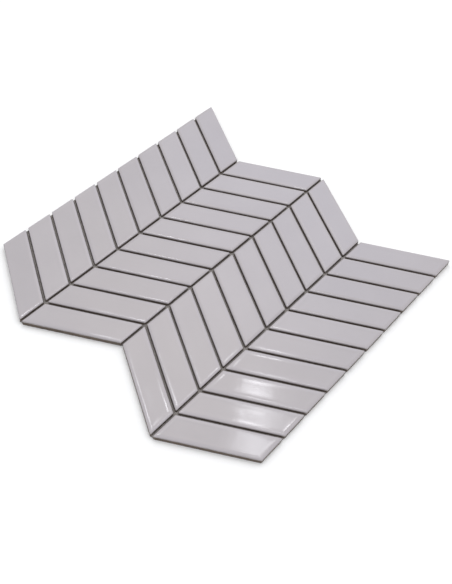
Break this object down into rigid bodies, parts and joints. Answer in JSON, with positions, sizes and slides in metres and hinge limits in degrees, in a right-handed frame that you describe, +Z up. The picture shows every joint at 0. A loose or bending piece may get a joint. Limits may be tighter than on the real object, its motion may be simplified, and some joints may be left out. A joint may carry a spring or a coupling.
{
  "type": "chevron mosaic tile sheet",
  "caption": "Flat mosaic sheet of glossy pale grey glazed chips, long slanted ones laid as a chevron with open joints and held by netting on the back, for covering a wall or floor",
  "frame": {"origin": "the middle of the underside of the netting, on the floor that the sheet lies on", "axes": "X runs across the columns, Y runs along the seams towards the back of the sheet, Z points up out of the glazed faces"},
  "size_m": [0.3098, 0.3288, 0.006],
  "materials": {
    "glazed_chip": "gloss",
    "netting": "matte"
  },
  "bodies": {
    "root": {"chip_column1_row01": "glazed_chip", "chip_column1_row02": "glazed_chip", "chip_column1_row03": "glazed_chip", "chip_column1_row04": "glazed_chip", "chip_column1_row05": "glazed_chip", "chip_column1_row06": "glazed_chip", "chip_column1_row07": "glazed_chip", "chip_column1_row08": "glazed_chip", "chip_column1_row09": "glazed_chip", "chip_column1_row10": "glazed_chip", "chip_column2_row01": "glazed_chip", "chip_column2_row02": "glazed_chip", "chip_column2_row03": "glazed_chip", "chip_column2_row04": "glazed_chip", "chip_column2_row05": "glazed_chip", "chip_column2_row06": "glazed_chip", "chip_column2_row07": "glazed_chip", "chip_column2_row08": "glazed_chip", "chip_column2_row09": "glazed_chip", "chip_column2_row10": "glazed_chip", "chip_column3_row01": "glazed_chip", "chip_column3_row02": "glazed_chip", "chip_column3_row03": "glazed_chip", "chip_column3_row04": "glazed_chip", "chip_column3_row05": "glazed_chip", "chip_column3_row06": "glazed_chip", "chip_column3_row07": "glazed_chip", "chip_column3_row08": "glazed_chip", "chip_column3_row09": "glazed_chip", "chip_column3_row10": "glazed_chip", "chip_column4_row01": "glazed_chip", "chip_column4_row02": "glazed_chip", "chip_column4_row03": "glazed_chip", "chip_column4_row04": "glazed_chip", "chip_column4_row05": "glazed_chip", "chip_column4_row06": "glazed_chip", "chip_column4_row07": "glazed_chip", "chip_column4_row08": "glazed_chip", "chip_column4_row09": "glazed_chip", "chip_column4_row10": "glazed_chip", "netting": "netting"}
  },
  "joints": []
}
